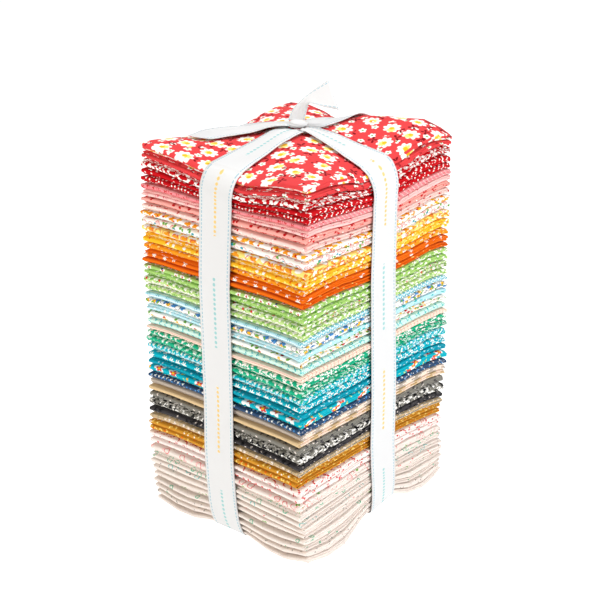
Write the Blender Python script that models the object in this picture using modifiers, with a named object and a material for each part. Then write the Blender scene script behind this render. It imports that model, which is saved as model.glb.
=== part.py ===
"""A tall bundle of fat quarters: folded quilting cottons in a square stack, tied both ways with ribbon.

Every fat quarter is a cut of cloth 457 by 533 mm, folded in four and then in three. Its solid is the
last fold, one back-and-forth section of three runs; each run is the packet of four cloths. The stack is
first laid out square and level, and one function then gives every point its place in the tied bundle.
Metres, +Z up, origin at the middle of the underside.
"""
import math

import bmesh
import bpy
import numpy as np

# Sizes of the stack, laid square and level
HALF_X = 0.0665             # the cloth's 533 mm folded in four
HALF_Y = 0.0760             # the cloth's 457 mm folded in three
HEIGHT = 0.2575
QUARTER_GAP = 0.00045       # between one fat quarter and the next
RUN_GAP = 0.00035           # between the runs of one fat quarter
RUNS = 3
MOSTLY = 0.88               # share of the quarters whose lower fold lies at the back
ARC_STEPS = 3               # segments round each fold
FOLD_SLIP = 0.0012          # how far a fold may lie inside the stack's square

# Sizes of the ribbon
RIBBON_WIDTH = 0.0254
RIBBON_THICK = 0.0010
RIBBON_CLEAR = 0.0006       # from the square's outermost line to the ribbon
GROOVE_X = (-0.0165, 0.0105)    # the ribbon that runs along Y presses between these
GROOVE_Y = (-0.0110, 0.0160)    # the ribbon that runs along X presses between these
LOBE_LINE = 0.6             # a lobe's top lies this far from groove to edge
STAND_LINE = 0.35           # a lobe stands on the surface from here to the lobe line

# How deep each effect reaches into the stack
SHALLOW_TOP = 0.032
DEEP_TOP = 0.080
SHALLOW_BASE = 0.034
DEEP_BASE = 0.080
ROUND_TOP = 0.018           # height over which the ribbon rounds the top edge
ROUND_BASE = 0.028
TUCK_REACH = 0.044          # height over which the lowest quarters step in
TUCK = 0.0010

# Side, top pinch near and deep, base pinch near and deep, edge drawn in at top and base
SIDES = {
    "front": (0.0070, 0.0010, 0.0040, 0.0010, 0.010, 0.007),
    "right": (0.0020, 0.0070, 0.0105, 0.0020, 0.010, 0.002),
    "back": (0.0040, 0.0040, 0.0050, 0.0020, 0.010, 0.006),
    "left": (0.0050, 0.0030, 0.0050, 0.0020, 0.009, 0.005),
}
BASE_HOLLOW = 0.0044        # rise of the underside's middle, where the ribbons cross
SETTLED = 0.0008            # the lobes flatten this much where they stand

# Name, middle x and y, rise, reach along x and y: puffs and dips of the top cloths
PUFFS = (
    ("crown", -0.003, 0.0024, 0.003, 0.040, 0.045),
    ("right lobe", 0.040, 0.055, 0.012, 0.040, 0.028),
    ("front lobe", 0.032, -0.036, 0.005, 0.026, 0.030),
    ("front edge", 0.020, -0.076, -0.003, 0.016, 0.030),
    ("left lobe", -0.044, -0.054, 0.0045, 0.024, 0.036),
    ("back lobe", -0.040, 0.045, 0.003, 0.026, 0.030),
    ("front dip", 0.0665, -0.014, -0.004, 0.025, 0.016),
    ("back dip", -0.003, 0.076, -0.004, 0.020, 0.025),
    ("right corner", 0.0665, 0.076, -0.006, 0.011, 0.013),
    ("front corner", 0.0665, -0.076, -0.002, 0.016, 0.020),
    ("back corner", -0.0665, 0.076, -0.004, 0.020, 0.024),
)
# The same for the underside's corners, which curl up a little
CURLS = (
    ("right corner", 0.0665, 0.076, 0.0089, 0.018, 0.0106),
    ("right lobe", 0.0665, 0.0323, 0.0062, 0.030, 0.040),
    ("left corner", -0.0665, -0.076, 0.0069, 0.018, 0.022),
    ("front corner", 0.0665, -0.076, 0.0067, 0.016, 0.018),
    ("back corner", -0.0665, 0.076, 0.0060, 0.018, 0.022),
)

# Height, turn in degrees and shift of the stack there, as it leans
LEAN = (
    (0.000, 1.0, 0.0022),
    (0.0595, -1.2, -0.0009),
    (0.0975, -1.3, 0.0010),
    (0.1795, 0.2, -0.0002),
    (0.2335, 1.6, 0.0004),
    (0.2575, 1.4, 0.0004),
)
LEAN_WAY = (0.766, 0.643)   # the shift's direction on the floor

# Name, thickness, colour: the fat quarters from the top down
FAT_QUARTERS = (
    ("red_daisy", 0.0054, (0.85, 0.20, 0.20)),
    ("red_blossom", 0.0044, (0.82, 0.18, 0.19)),
    ("crimson_branch", 0.0060, (0.72, 0.03, 0.07)),
    ("crimson_bud", 0.0042, (0.70, 0.04, 0.08)),
    ("crimson_dot", 0.0040, (0.74, 0.08, 0.10)),
    ("rose_plaid", 0.0040, (0.90, 0.42, 0.46)),
    ("pink_plaid", 0.0040, (0.94, 0.60, 0.60)),
    ("salmon_sprig", 0.0050, (0.96, 0.62, 0.58)),
    ("pink_sprig", 0.0049, (0.97, 0.72, 0.70)),
    ("citrus_patch", 0.0046, (0.96, 0.85, 0.66)),
    ("ringed_white", 0.0058, (0.93, 0.88, 0.86)),
    ("citrus_lattice", 0.0060, (0.95, 0.78, 0.58)),
    ("yellow_flower", 0.0064, (0.96, 0.72, 0.18)),
    ("orange_sprig", 0.0046, (0.94, 0.50, 0.08)),
    ("orange_pair", 0.0044, (0.93, 0.42, 0.05)),
    ("orange_bud", 0.0043, (0.92, 0.39, 0.04)),
    ("lime_posy", 0.0043, (0.66, 0.82, 0.42)),
    ("lime_bud", 0.0045, (0.60, 0.78, 0.36)),
    ("green_white", 0.0058, (0.52, 0.76, 0.40)),
    ("olive_leaf", 0.0046, (0.86, 0.88, 0.74)),
    ("aqua_plaid", 0.0045, (0.70, 0.88, 0.90)),
    ("cream_outline", 0.0048, (0.92, 0.91, 0.84)),
    ("aqua_block", 0.0038, (0.68, 0.88, 0.86)),
    ("cream_posy", 0.0052, (0.92, 0.93, 0.82)),
    ("mint_scallop", 0.0048, (0.78, 0.92, 0.84)),
    ("peach_line", 0.0040, (0.97, 0.78, 0.66)),
    ("emerald_laurel", 0.0050, (0.18, 0.66, 0.47)),
    ("emerald_branch", 0.0049, (0.16, 0.62, 0.46)),
    ("teal_print", 0.0062, (0.10, 0.58, 0.62)),
    ("teal_white", 0.0056, (0.10, 0.56, 0.64)),
    ("teal_plain", 0.0044, (0.06, 0.50, 0.58)),
    ("teal_flower", 0.0056, (0.06, 0.55, 0.64)),
    ("navy_star", 0.0040, (0.10, 0.17, 0.34)),
    ("beige_gingham", 0.0044, (0.74, 0.68, 0.60)),
    ("peach_gingham", 0.0046, (0.88, 0.76, 0.60)),
    ("grey_sprig", 0.0056, (0.48, 0.47, 0.44)),
    ("grey_branch", 0.0060, (0.58, 0.57, 0.55)),
    ("charcoal_spot", 0.0046, (0.22, 0.21, 0.23)),
    ("tan_sprig", 0.0042, (0.84, 0.70, 0.46)),
    ("gold_fleck", 0.0043, (0.76, 0.48, 0.10)),
    ("gold_scroll", 0.0043, (0.74, 0.46, 0.09)),
    ("white_cherry", 0.0050, (0.95, 0.88, 0.87)),
    ("white_berry", 0.0048, (0.95, 0.90, 0.88)),
    ("cream_ring", 0.0063, (0.95, 0.88, 0.84)),
    ("cream_circle", 0.0055, (0.94, 0.88, 0.82)),
    ("cream_spot", 0.0055, (0.94, 0.89, 0.82)),
    ("cream_line", 0.0054, (0.93, 0.88, 0.80)),
    ("cream_weave", 0.0054, (0.93, 0.87, 0.81)),
    ("cream_box", 0.0054, (0.92, 0.87, 0.80)),
    ("cream_grid", 0.0054, (0.93, 0.88, 0.82)),
    ("cream_stroke", 0.0054, (0.93, 0.88, 0.81)),
    ("cream_plain", 0.0054, (0.92, 0.87, 0.80)),
)
SEED = 11
RIBBON_COLOUR = (0.93, 0.93, 0.94)

# Height, drift of the ribbon's middle on the front and back, and on the left and right
RIBBON_DRIFT = (
    (0.000, 0.0000, 0.0030),
    (0.0595, 0.0035, 0.0060),
    (0.0975, 0.0015, 0.0030),
    (0.1795, 0.0000, 0.0000),
    (0.2335, 0.0000, -0.0020),
    (0.2575, 0.0000, 0.0000),
)

# The knot and the two free ends
KNOT_RADII = (0.0064, 0.0058, 0.0029)
KNOT_LIFT = 0.0036          # from the top cloth to the knot's middle
KNOT_TURN = math.radians(39.8)
LEG_START = 0.0080          # a ribbon's leg starts this far from the knot's middle
LEG_PINCHED = 0.55          # share of its width that a leg has at the knot
CROSSING = 0.0134           # half the length over which the bands lie flat where they cross

# Standing end, from the knot to its slanting cut: each edge as right, away and up from the knot's
# middle, with right and away turned as the knot is
STANDING_END = (
    ((-0.0060, 0.0010, 0.0033), (0.0044, 0.0005, 0.0033)),
    ((-0.0025, 0.0030, 0.0085), (0.0051, 0.0010, 0.0080)),
    ((0.0032, 0.0050, 0.0148), (0.0078, 0.0005, 0.0130)),
    ((0.0113, 0.0068, 0.0208), (0.0162, -0.0030, 0.0118)),
    ((0.0195, 0.0080, 0.0262), (0.0258, -0.0060, 0.0105)),
)
# Lying end, from the knot over the left lobe to its slanting cut: each edge as x, y and height
# over the top cloth
LYING_END = (
    ((-0.0105, 0.0035, 0.0032), (-0.0066, -0.0056, 0.0032)),
    ((-0.0220, 0.0020, 0.0026), (-0.0175, -0.0120, 0.0026)),
    ((-0.0360, -0.0070, 0.0026), (-0.0285, -0.0225, 0.0018)),
    ((-0.0480, -0.0160, 0.0024), (-0.0330, -0.0310, 0.0014)),
    ((-0.0545, -0.0290, 0.0018), (-0.0355, -0.0420, 0.0012)),
    ((-0.0510, -0.0465, 0.0012), (-0.0450, -0.0475, 0.0012)),
)


def ease_in(height, reach):
    """Return 1 at the base and 0 from reach upward, falling evenly."""
    return np.clip(1 - height / reach, 0, 1)


def quarter_round(height, reach):
    """Return 0 at reach and 1 at height 0, along a quarter circle."""
    return 1 - np.sqrt(1 - ease_in(height, reach) ** 2)


def beyond_groove(along, groove, half):
    """Return 0 in the ribbon's groove and 1 at the square's edge, evenly between."""
    low = (groove[0] - along) / (groove[0] + half)
    high = (along - groove[1]) / (half - groove[1])
    return np.clip(np.maximum(low, high), 0, 1)


def side_value(x, y, column):
    """Return the values of that column for the sides that x and y lie towards."""
    on_x = np.where(x < 0, SIDES["left"][column], SIDES["right"][column])
    on_y = np.where(y < 0, SIDES["front"][column], SIDES["back"][column])
    return on_x, on_y


def pinch(x, y, column):
    """Return a fold's depth: full at the middle of each side, none on the lines to the corners."""
    out_x = beyond_groove(x, GROOVE_X, HALF_X)
    out_y = beyond_groove(y, GROOVE_Y, HALF_Y)
    on_x, on_y = side_value(x, y, column)
    return on_x * np.maximum(out_x - out_y, 0) + on_y * np.maximum(out_y - out_x, 0)


def base_rise(x, y):
    """Return the underside's height: ribbon grooves and a hollow middle between four flat lobes."""
    out_x = beyond_groove(x, GROOVE_X, HALF_X)
    out_y = beyond_groove(y, GROOVE_Y, HALF_Y)
    on_x, on_y = side_value(x, y, 2)
    near_x = np.clip(1 - out_y / STAND_LINE, 0, 1)
    near_y = np.clip(1 - out_x / STAND_LINE, 0, 1)
    along_x = near_x * (BASE_HOLLOW + (on_x - BASE_HOLLOW) * out_x)
    along_y = near_y * (BASE_HOLLOW + (on_y - BASE_HOLLOW) * out_y)
    return np.maximum(along_x, along_y)


def puffs(x, y, table):
    """Return the sum of the table's bell-shaped rises at each point."""
    total = np.zeros_like(x)
    for _, mid_x, mid_y, high, reach_x, reach_y in table:
        total += high * np.exp(-((x - mid_x) / reach_x) ** 2 - ((y - mid_y) / reach_y) ** 2)
    return total


def tied_shape(points):
    """Return where points of the square, level stack lie in the tied bundle.

    The edges are drawn in under the ribbons and at the base, each height gains the pinches, puffs
    and the underside's rise that fade with depth, and the whole stack turns and shifts with height.
    """
    x, y, z = np.asarray(points, float).T
    below = HEIGHT - z
    grip_x = (1 - beyond_groove(x, GROOVE_X, HALF_X)) ** 1.5
    grip_y = (1 - beyond_groove(y, GROOVE_Y, HALF_Y)) ** 1.5
    top_x, top_y = side_value(x, y, 4)
    base_x, base_y = side_value(x, y, 5)
    round_top = quarter_round(below, ROUND_TOP)
    round_base = quarter_round(z, ROUND_BASE)
    tuck = TUCK * ease_in(z, TUCK_REACH) ** 2
    rim_x = np.clip(beyond_groove(x, GROOVE_X, HALF_X) / (1 - LOBE_LINE) - 1.5, 0, 1)
    rim_y = np.clip(beyond_groove(y, GROOVE_Y, HALF_Y) / (1 - LOBE_LINE) - 1.5, 0, 1)
    x = x - np.sign(x) * rim_x * ((top_x * round_top + base_x * round_base) * grip_y + tuck)
    y = y - np.sign(y) * rim_y * ((top_y * round_top + base_y * round_base) * grip_x + tuck)

    shallow = ease_in(below, SHALLOW_TOP)
    rise = -pinch(x, y, 0) * shallow - pinch(x, y, 1) * ease_in(below, DEEP_TOP)
    rise += puffs(x, y, PUFFS) * shallow
    near_base = ease_in(z, SHALLOW_BASE)
    rise += np.maximum(base_rise(x, y) + puffs(x, y, CURLS) - SETTLED, 0) * near_base
    rise += pinch(x, y, 3) * ease_in(z, DEEP_BASE) * (1 - near_base)

    heights, turns, shifts = np.array(LEAN).T
    turn = np.radians(np.interp(z, heights, turns))
    shift = np.interp(z, heights, shifts)
    turned_x = np.cos(turn) * x - np.sin(turn) * y + shift * LEAN_WAY[0]
    turned_y = np.sin(turn) * x + np.cos(turn) * y + shift * LEAN_WAY[1]
    return np.column_stack((turned_x, turned_y, z + rise))


def new_material(name, colour, roughness):
    """Return a Principled material of that colour."""
    material = bpy.data.materials.new(name)
    material.use_nodes = True
    shader = material.node_tree.nodes["Principled BSDF"]
    shader.inputs["Base Color"].default_value = (*colour, 1.0)
    shader.inputs["Roughness"].default_value = roughness
    shader.inputs["Metallic"].default_value = 0.0
    return material


def add_object(name, mesh, material, parts):
    """Put a mesh into the collection as one named object."""
    mesh.materials.clear()
    mesh.materials.append(material)
    piece = bpy.data.objects.new(name, mesh)
    parts.objects.link(piece)
    return piece


def thickened(bm, thick):
    """Return the mesh of an open surface given its thickness, half to each side."""
    flat = bpy.data.meshes.new("flat cloth")
    bm.to_mesh(flat)
    bm.free()
    helper = bpy.data.objects.new("flat cloth", flat)
    bpy.context.scene.collection.objects.link(helper)
    solidify = helper.modifiers.new("Cloth", "SOLIDIFY")
    solidify.thickness = thick
    solidify.offset = 0
    solidify.use_even_offset = True
    graph = bpy.context.evaluated_depsgraph_get()
    mesh = bpy.data.meshes.new_from_object(helper.evaluated_get(graph))
    bpy.data.objects.remove(helper)
    bpy.data.meshes.remove(flat)
    return mesh


def bend_mesh(mesh, bend):
    """Move every vertex of a mesh to the place that bend gives it."""
    points = np.empty(len(mesh.vertices) * 3)
    mesh.vertices.foreach_get("co", points)
    mesh.vertices.foreach_set("co", bend(points.reshape(-1, 3)).ravel())
    mesh.update()


def cross_lines(half, groove, detail):
    """Return the lines across the stack that a cloth bends on: the edges, the groove's and the lobes'."""
    if detail == "plain":
        return np.array((-half, half))
    if detail == "grooved":
        return np.array((-half, *groove, half))
    parts = (LOBE_LINE,) if detail == "lobed" else (LOBE_LINE, STAND_LINE)
    low = [groove[0] - part * (half + groove[0]) for part in parts]
    high = [groove[1] + part * (half - groove[1]) for part in parts]
    return np.array((-half, *low, *groove, *high[::-1], half))


def fold_section(lines, base, thick, facing):
    """Return the back-and-forth path of one fat quarter in Y and Z, with the run each point starts.

    Three runs lie over each other, and half circles join them at alternate ends. Facing says at
    which end the first of the two folds lies.
    """
    pitch = thick / RUNS
    reach = HALF_Y - pitch + RUN_GAP / 2
    path = []
    for run in range(RUNS):
        way = facing * (1 if run % 2 == 0 else -1)
        along = np.clip(lines if way > 0 else lines[::-1], -reach, reach)
        level = base + pitch * (run + 0.5) - RUN_GAP / 2
        path += [(y, level, way) for y in along]
        if run < RUNS - 1:
            steps = np.arange(1, ARC_STEPS) * math.pi / ARC_STEPS
            path += [(way * (reach + math.sin(a) * pitch / 2), level + (1 - math.cos(a)) * pitch / 2, way)
                     for a in steps]
    return path


def fat_quarter_mesh(base, thick, detail, facing):
    """Return one folded fat quarter: a grid carried along the fold's path, then given its thickness.

    Each rectangle is split towards the stack's corners, so that neighbours bend on the same lines.
    """
    columns = cross_lines(HALF_X, GROOVE_X, detail)
    path = fold_section(cross_lines(HALF_Y, GROOVE_Y, detail), base, thick, facing)
    bm = bmesh.new()
    bmesh.ops.create_grid(bm, x_segments=len(columns) - 1, y_segments=len(path) - 1, size=1)
    bm.verts.ensure_lookup_table()
    ordered = sorted(bm.verts, key=lambda v: (round(v.co.y, 5), round(v.co.x, 5)))
    ways = {}
    for index, vert in enumerate(ordered):
        y, z, way = path[index // len(columns)]
        ways[vert] = way
        vert.co = (columns[index % len(columns)], y, z)
    leaning = {"FIXED": [], "ALTERNATE": []}
    for face in bm.faces:
        middle = face.calc_center_median()
        forward = min(ways[v] for v in face.verts) > 0
        same_sign = middle.x * middle.y > 0
        leaning["FIXED" if forward == same_sign else "ALTERNATE"].append(face)
    for method, faces in leaning.items():
        bmesh.ops.triangulate(bm, faces=faces, quad_method=method)
    return thickened(bm, thick / RUNS - RUN_GAP)


def cloth_detail(base, top):
    """Return how finely a fat quarter at those heights has to bend."""
    if base < SHALLOW_BASE:
        return "standing"
    if top > HEIGHT - SHALLOW_TOP:
        return "lobed"
    if top > HEIGHT - DEEP_TOP or base < DEEP_BASE:
        return "grooved"
    return "plain"


def add_fat_quarters(parts):
    """Stack the fat quarters from the top down, each a little askew, and tie them into shape."""
    rng = np.random.default_rng(SEED)
    top = HEIGHT
    for number, (name, thick, colour) in enumerate(FAT_QUARTERS, start=1):
        base = top - thick
        slip = rng.uniform(-FOLD_SLIP, 0, 2)
        facing = 1 if rng.random() < MOSTLY else -1
        mesh = fat_quarter_mesh(base, thick - QUARTER_GAP, cloth_detail(base, top), facing)
        scale = 1 + slip / (HALF_X, HALF_Y)
        bend_mesh(mesh, lambda points: tied_shape(points * (*scale, 1)))
        material = new_material(name, colour, 0.85)
        add_object(f"fq{number:02d}_{name}", mesh, material, parts)
        top = base


def ribbon_mesh(stations, width_at, bend):
    """Return a ribbon: a strip of the given widths along its stations, given its thickness and bent."""
    bm = bmesh.new()
    bmesh.ops.create_grid(bm, x_segments=1, y_segments=len(stations) - 1, size=1)
    ordered = sorted(bm.verts, key=lambda v: (round(v.co.y, 5), round(v.co.x, 5)))
    for index, vert in enumerate(ordered):
        station = stations[index // 2]
        side = -1 if index % 2 == 0 else 1
        vert.co = (width_at(index // 2) * side / 2, *station)
    mesh = thickened(bm, RIBBON_THICK)
    bend_mesh(mesh, bend)
    return mesh


def band_stations(half, middle, under):
    """Return a band's way round the stack as pairs (along, up), from the knot over and under to it.

    Middle is where the knot lies along the band, and under is how far below the cloth the band
    passes where the two bands cross.
    """
    out = half + RIBBON_CLEAR + RIBBON_THICK / 2
    off = RIBBON_CLEAR + RIBBON_THICK / 2
    over = HEIGHT + off
    rounding_top = [over] + [HEIGHT - ROUND_TOP * part for part in (0.06, 0.2, 0.45, 1.0)]
    rounding_base = [ROUND_BASE * part for part in (1.0, 0.45, 0.2, 0.06)] + [-off]
    side = [h for h, _, _ in reversed(LEAN) if ROUND_BASE < h < HEIGHT - ROUND_TOP]
    down = rounding_top + side + rounding_base
    halves = []
    for side in (-1, 1):
        legs = [middle + side * reach for reach in (LEG_START, 0.018, 0.032)]
        half_loop = [(along, over) for along in legs]
        half_loop += [(side * along, over) for along in (0.050, half - 0.008)]
        half_loop += [(side * out, height) for height in down]
        half_loop += [(side * along, -off) for along in (half - 0.008, 0.046)]
        half_loop += [(middle + side * reach, -under) for reach in (0.022, CROSSING)]
        halves.append(half_loop)
    return halves[0] + halves[1][::-1]


def band_drift(heights, column):
    """Return how far the ribbon's middle lies beside its groove at those heights."""
    table = np.array(RIBBON_DRIFT)
    return np.interp(heights, table[:, 0], table[:, column])


def add_bands(parts, material):
    """Add the two ribbon bands, which start and end at the knot and cross under the stack."""
    off = RIBBON_CLEAR + RIBBON_THICK / 2
    middle_x = sum(GROOVE_X) / 2
    middle_y = sum(GROOVE_Y) / 2

    def widths(stations):
        last = len(stations) - 1
        return lambda i: RIBBON_WIDTH * (LEG_PINCHED if i in (0, last) else 1.0)

    def along_y(points):
        placed = points.copy()
        placed[:, 0] += middle_x + band_drift(points[:, 2], 1)
        return tied_shape(placed)

    def along_x(points):
        placed = np.column_stack((points[:, 1], -points[:, 0], points[:, 2]))
        placed[:, 1] += middle_y + band_drift(points[:, 2], 2)
        return tied_shape(placed)

    stations = band_stations(HALF_Y, middle_y, off)
    add_object("ribbon_front_back", ribbon_mesh(stations, widths(stations), along_y), material, parts)
    crossing = off + RIBBON_THICK + 0.0005
    stations = band_stations(HALF_X, middle_x, crossing)
    add_object("ribbon_left_right", ribbon_mesh(stations, widths(stations), along_x), material, parts)


def knot_middle():
    """Return where the knot's middle lies: over the point where the bands cross on top."""
    crown = tied_shape([(sum(GROOVE_X) / 2, sum(GROOVE_Y) / 2, HEIGHT)])[0]
    return crown + (0, 0, KNOT_LIFT)


def from_knot(offsets):
    """Return points given as right, away and up from the knot's middle, turned as the knot is."""
    right, away, up = np.asarray(offsets, float).T
    turned_x = right * math.cos(KNOT_TURN) - away * math.sin(KNOT_TURN)
    turned_y = right * math.sin(KNOT_TURN) + away * math.cos(KNOT_TURN)
    return knot_middle() + np.column_stack((turned_x, turned_y, up))


def on_top_cloth(spots):
    """Return points given as x, y and height over the top cloth."""
    spots = np.asarray(spots, float)
    ground = tied_shape(np.column_stack((spots[:, :2], np.full(len(spots), HEIGHT))))
    return np.column_stack((spots[:, :2], ground[:, 2] + spots[:, 2]))


def add_knot(parts, material):
    """Add the knot: a flattened ball of ribbon, pinched round its middle."""
    bm = bmesh.new()
    bmesh.ops.create_uvsphere(bm, u_segments=14, v_segments=8, radius=1.0)
    mesh = bpy.data.meshes.new("knot")
    bm.to_mesh(mesh)
    bm.free()

    def shaped(points):
        waist = 1 - 0.22 * np.exp(-(points[:, 0] / 0.3) ** 2)
        return from_knot(points * KNOT_RADII * np.column_stack((waist ** 0, waist, waist ** 0)))

    bend_mesh(mesh, shaped)
    add_object("ribbon_knot", mesh, material, parts)


def add_free_end(name, edges, placed, parts, material):
    """Add a free end: a strip between its two edges, given its thickness."""
    bm = bmesh.new()
    bmesh.ops.create_grid(bm, x_segments=1, y_segments=len(edges) - 1, size=1)
    ordered = sorted(bm.verts, key=lambda v: (round(v.co.y, 5), round(v.co.x, 5)))
    for vert, point in zip(ordered, placed([point for pair in edges for point in pair])):
        vert.co = point
    add_object(name, thickened(bm, RIBBON_THICK), material, parts)


def build():
    """Clear the scene and build the bundle."""
    for old in list(bpy.data.objects):
        bpy.data.objects.remove(old)
    parts = bpy.data.collections.new("fat quarter bundle")
    bpy.context.scene.collection.children.link(parts)
    add_fat_quarters(parts)
    ribbon = new_material("ribbon", RIBBON_COLOUR, 0.55)
    add_bands(parts, ribbon)
    add_knot(parts, ribbon)
    add_free_end("ribbon_standing_end", STANDING_END, from_knot, parts, ribbon)
    add_free_end("ribbon_lying_end", LYING_END, on_top_cloth, parts, ribbon)


build()
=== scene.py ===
"""Looks of the fat quarter bundle: folded printed cottons in a stack, tied both ways with ribbon.

Every fat quarter is one sheet, folded in four across and then in three along. The sheets are worked out
square and level, and tied_shape then gives every point its place in the tied bundle.
"""
import math

import bpy
import numpy as np
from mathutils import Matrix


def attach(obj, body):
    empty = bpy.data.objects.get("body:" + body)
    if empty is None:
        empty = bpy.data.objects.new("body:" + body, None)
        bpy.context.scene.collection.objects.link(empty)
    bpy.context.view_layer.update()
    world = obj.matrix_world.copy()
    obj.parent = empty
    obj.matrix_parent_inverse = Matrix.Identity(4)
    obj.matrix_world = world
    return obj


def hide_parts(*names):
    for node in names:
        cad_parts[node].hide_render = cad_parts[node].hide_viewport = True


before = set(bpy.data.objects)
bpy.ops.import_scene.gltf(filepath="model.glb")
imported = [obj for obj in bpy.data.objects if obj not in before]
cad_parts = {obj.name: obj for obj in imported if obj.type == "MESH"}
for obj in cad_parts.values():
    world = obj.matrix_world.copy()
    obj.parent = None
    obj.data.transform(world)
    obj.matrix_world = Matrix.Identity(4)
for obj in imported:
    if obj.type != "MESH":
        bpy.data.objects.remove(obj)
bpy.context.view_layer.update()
scene = bpy.context.scene

# Sizes of the stack, laid square and level, in metres
HALF_X, HALF_Y, HEIGHT = 0.0665, 0.0760, 0.2575
QUARTER_GAP = 0.00070
FOLD_SLIP = 0.0012
MOSTLY = 0.88  # share of the quarters whose lower fold lies at the back
RUNS, PLIES = 3, 4  # of the last fold, along Y, and of the first folds, across X
RUN_TURNS, PLY_TURNS = 8, 5  # steps round a fold of each
LOOSE, PACKED = 0.84, 0.90  # share of its room that a run's and a ply's pitch takes
CLOTH = 0.00024
RAW_BACK = 0.0006  # how far inside the folds the raw ends stop
PRESSED = 0.38  # power of a fold's sine and cosine: 1 is round, less is squarer
SLIP_REACH = 0.050  # how far from a fold its turning of the plies dies away
SHORT_MEAN = 0.0002  # how far the folds lie inside the square
SHORT_DRIFT = 0.00022  # by how much that changes along a fold
SHORT_OWN = 0.0004  # by how much it changes from fold to fold
SHORT_MOST = 0.0014
SHORT_TURNS_Y = (55, 128)  # radians a metre of its two sines along y, and along x
SHORT_TURNS_X = (62, 141)
TURNED_OVER = 0.25  # share of the quarters that lie the other way round

# Sizes of the ribbon
RIBBON_WIDTH, RIBBON_THICK = 0.0254, 0.00035
RIBBON_OFF = 0.0006  # from the square's outermost line to the ribbon's middle
FREE_FROM = 0.820  # the free ends start this far along the ribbon, and have no print
GROOVE_X = (-0.0165, 0.0105)
GROOVE_Y = (-0.0110, 0.0160)
CROSSING = (sum(GROOVE_X) / 2, sum(GROOVE_Y) / 2)

# How the tying shapes the stack
SHALLOW_TOP, DEEP_TOP = 0.032, 0.095
SHALLOW_BASE, DEEP_BASE = 0.034, 0.095
ROUND_TOP, ROUND_BASE = 0.018, 0.028
TUCK_REACH = 0.044
TUCK = 0.0010  # how far the sides step in at the base
FLAT_GROOVE = 0.0135  # the ribbon presses flat this far to each side of its middle
GRIP_POWER = 1.5  # how fast the ribbon's grip on an edge fades beside it
SIDE_FROM_X, SIDE_FROM_Y = 0.010, 0.011  # a side's pinch starts this far from the middle
RIM_FROM_X, RIM_FROM_Y = 0.040, 0.046  # cloth further out than this is drawn in
RIM_MOST = 1.2
DROOP_FADE = 0.050  # the corners droop less than this far above the base
WAVE_FADE = 0.020  # and the waves die away

# Side: top pinch near and deep, base pinch near and deep, edge drawn in at top and base
SIDES = {
    "front": (0.007, 0.001, 0.004, 0.001, 0.01, 0.007),
    "right": (0.002, 0.007, 0.0105, 0.004, 0.01, 0.002),
    "back": (0.004, 0.004, 0.005, 0.004, 0.01, 0.006),
    "left": (0.005, 0.003, 0.005, 0.003, 0.009, 0.005),
}
BASE_HOLLOW = 0.0044
SETTLED = 0.0008  # the lobes flatten this much where they stand
BASE_GRIP = 0.0147  # how far beside the ribbon its pull on the underside fades

# Name, middle x and y, rise, reach along x and y: puffs and dips of the top cloths
PUFFS = (
    ("crown", -0.003, 0.0024, 0.003, 0.040, 0.045),
    ("right lobe", 0.040, 0.055, 0.010, 0.040, 0.028),
    ("right shoulder", 0.012, 0.054, 0.004, 0.016, 0.022),
    ("right edge", 0.0665, 0.058, -0.003, 0.012, 0.012),
    ("front lobe", 0.032, -0.036, 0.005, 0.026, 0.030),
    ("front edge", 0.020, -0.076, -0.003, 0.016, 0.030),
    ("left lobe", -0.044, -0.054, 0.0045, 0.024, 0.036),
    ("back lobe", -0.040, 0.045, 0.003, 0.026, 0.030),
    ("front dip", 0.0665, -0.014, -0.004, 0.025, 0.016),
    ("back dip", -0.003, 0.076, -0.004, 0.020, 0.025),
    ("right corner", 0.0665, 0.076, -0.006, 0.011, 0.013),
    ("left corner", -0.0665, -0.076, 0.001, 0.020, 0.024),
    ("front corner", 0.0665, -0.076, -0.002, 0.016, 0.020),
    ("back corner", -0.0665, 0.076, -0.004, 0.020, 0.024),
)
# The same for the underside's corners, which curl up a little
CURLS = (
    ("right corner", 0.0665, 0.076, 0.0089, 0.018, 0.0106),
    ("right lobe", 0.0665, 0.0323, 0.0062, 0.030, 0.040),
    ("left corner", -0.0665, -0.076, 0.0069, 0.018, 0.022),
    ("front corner", 0.0665, -0.076, 0.0067, 0.016, 0.018),
    ("back corner", -0.0665, 0.076, 0.0060, 0.018, 0.022),
)
# The same for the corners of every layer above the base, which droop
DROOPS = (
    ("right corner", 0.0665, 0.076, -0.0026, 0.016, 0.010),
    ("left corner", -0.0665, -0.076, -0.0012, 0.010, 0.014),
    ("front corner", 0.0665, -0.076, -0.0010, 0.010, 0.010),
    ("back corner", -0.0665, 0.076, -0.0015, 0.012, 0.012),
)
# Height, turn in degrees and shift of the stack there, as it leans
LEAN = (
    (0.0, 1.0, 0.0022),
    (0.0595, -1.2, -0.0009),
    (0.0975, -1.3, 0.001),
    (0.1795, 0.2, -0.0002),
    (0.2335, 1.6, 0.0004),
    (0.2575, 1.4, 0.0004),
)
LEAN_WAY = (0.766, 0.643)
# Height, drift of the ribbon's middle on the front and back, and on the left and right
RIBBON_DRIFT = (
    (0.0, 0.0, 0.003),
    (0.0595, 0.0035, 0.006),
    (0.0975, 0.0015, 0.003),
    (0.1795, 0.0, 0.0),
    (0.2335, 0.0, -0.002),
    (0.2575, 0.0, 0.0),
)
# Size of each wave of the uneven stacking, its length along x, y and z, and its start
WAVES = (
    (0.00045, 0.085, 0.110, 0.090, 0.3),
    (0.00035, 0.050, 0.047, 0.041, 1.9),
    (0.00022, 0.031, 0.027, 0.023, 4.1),
)

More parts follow.
